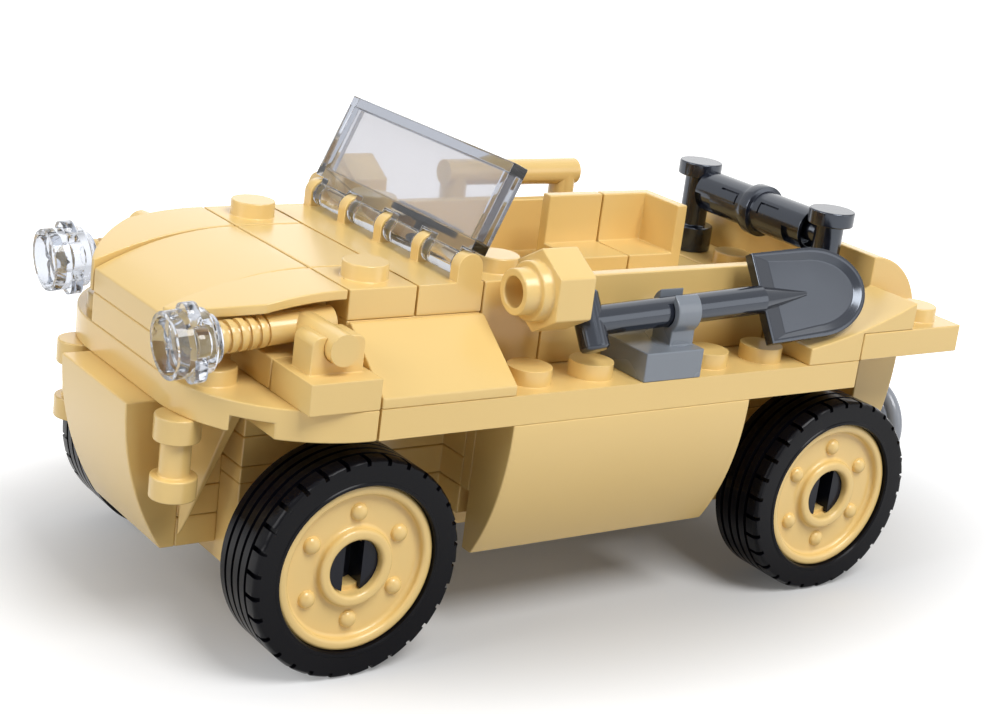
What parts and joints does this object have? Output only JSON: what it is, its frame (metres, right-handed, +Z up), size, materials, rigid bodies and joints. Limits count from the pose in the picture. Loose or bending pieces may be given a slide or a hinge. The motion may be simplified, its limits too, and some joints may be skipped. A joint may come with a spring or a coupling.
{
  "type": "toy amphibious army car",
  "caption": "Brick-built toy amphibious army car with turning wheels, a folding clear windscreen, a stern propeller, clear lamps and a clipped-on shovel.",
  "frame": {"origin": "ground under the middle of the whole car, stern propeller included", "axes": "+X forward to the bow, +Y to the car's left, +Z up"},
  "size_m": [0.1144, 0.0478, 0.0506],
  "materials": {
    "tan_plastic": "gloss",
    "black_plastic": "gloss",
    "grey_plastic": "gloss",
    "tyre_rubber": "satin",
    "clear_plastic": "gloss"
  },
  "bodies": {
    "car_body": {"aft_plate": "tan_plastic", "axle_carrier_front": "tan_plastic", "axle_carrier_rear": "tan_plastic", "axle_pins": "black_plastic", "bollards": "tan_plastic", "bow": "tan_plastic", "bow_block": "tan_plastic", "cabin_base": "tan_plastic", "cabin_floor": "tan_plastic", "cowls": "tan_plastic", "grab_rail": "tan_plastic", "hood_centre": "tan_plastic", "hood_plate": "tan_plastic", "hood_wings": "tan_plastic", "horns": "tan_plastic", "hull_front": "tan_plastic", "hull_middle": "tan_plastic", "hull_rear": "tan_plastic", "keel": "tan_plastic", "lamp_arms": "tan_plastic", "lamp_brackets": "tan_plastic", "lamps": "clear_plastic", "muffler": "black_plastic", "muffler_posts": "black_plastic", "nose_plate": "tan_plastic", "nose_struts": "tan_plastic", "prop_arm": "grey_plastic", "rear_wedges": "tan_plastic", "screen_hinge": "tan_plastic", "scuttle": "tan_plastic", "scuttle_plates": "tan_plastic", "scuttle_tile": "tan_plastic", "seat": "tan_plastic", "shovel": "black_plastic", "side_decks": "tan_plastic", "side_panels": "tan_plastic", "side_tiles": "tan_plastic", "skirt_brackets": "tan_plastic", "skirts": "tan_plastic", "steering": "grey_plastic", "stern": "tan_plastic", "stern_deck": "tan_plastic", "tail_filler": "tan_plastic", "tail_plate": "tan_plastic", "tool_clip": "grey_plastic"},
    "propeller": {"propeller": "grey_plastic"},
    "wheel_front_left": {"rim_front_left": "tan_plastic", "tyre_front_left": "tyre_rubber"},
    "wheel_front_right": {"rim_front_right": "tan_plastic", "tyre_front_right": "tyre_rubber"},
    "wheel_rear_left": {"rim_rear_left": "tan_plastic", "tyre_rear_left": "tyre_rubber"},
    "wheel_rear_right": {"rim_rear_right": "tan_plastic", "tyre_rear_right": "tyre_rubber"},
    "windscreen": {"windscreen": "clear_plastic"}
  },
  "joints": [
    {"name": "wheel_front_left_spin", "type": "hinge", "parent": "car_body", "child": "wheel_front_left", "pos_m": [0.03841, 0.01975, 0.01165], "axis": [0, 1, 0], "continuous": true},
    {"name": "wheel_front_right_spin", "type": "hinge", "parent": "car_body", "child": "wheel_front_right", "pos_m": [0.03841, -0.01975, 0.01165], "axis": [0, 1, 0], "continuous": true},
    {"name": "wheel_rear_left_spin", "type": "hinge", "parent": "car_body", "child": "wheel_rear_left", "pos_m": [-0.02575, 0.01975, 0.01165], "axis": [0, 1, 0], "continuous": true},
    {"name": "wheel_rear_right_spin", "type": "hinge", "parent": "car_body", "child": "wheel_rear_right", "pos_m": [-0.02575, -0.01975, 0.01165], "axis": [0, 1, 0], "continuous": true},
    {"name": "windscreen_hinge", "type": "hinge", "parent": "car_body", "child": "windscreen", "pos_m": [0.02425, 0, 0.0397], "axis": [0, 1, 0], "range_deg": [-25, 98]},
    {"name": "propeller_spin", "type": "hinge", "parent": "car_body", "child": "propeller", "pos_m": [-0.05491, 0, 0.01], "axis": [1, 0, 0], "continuous": true}
  ]
}
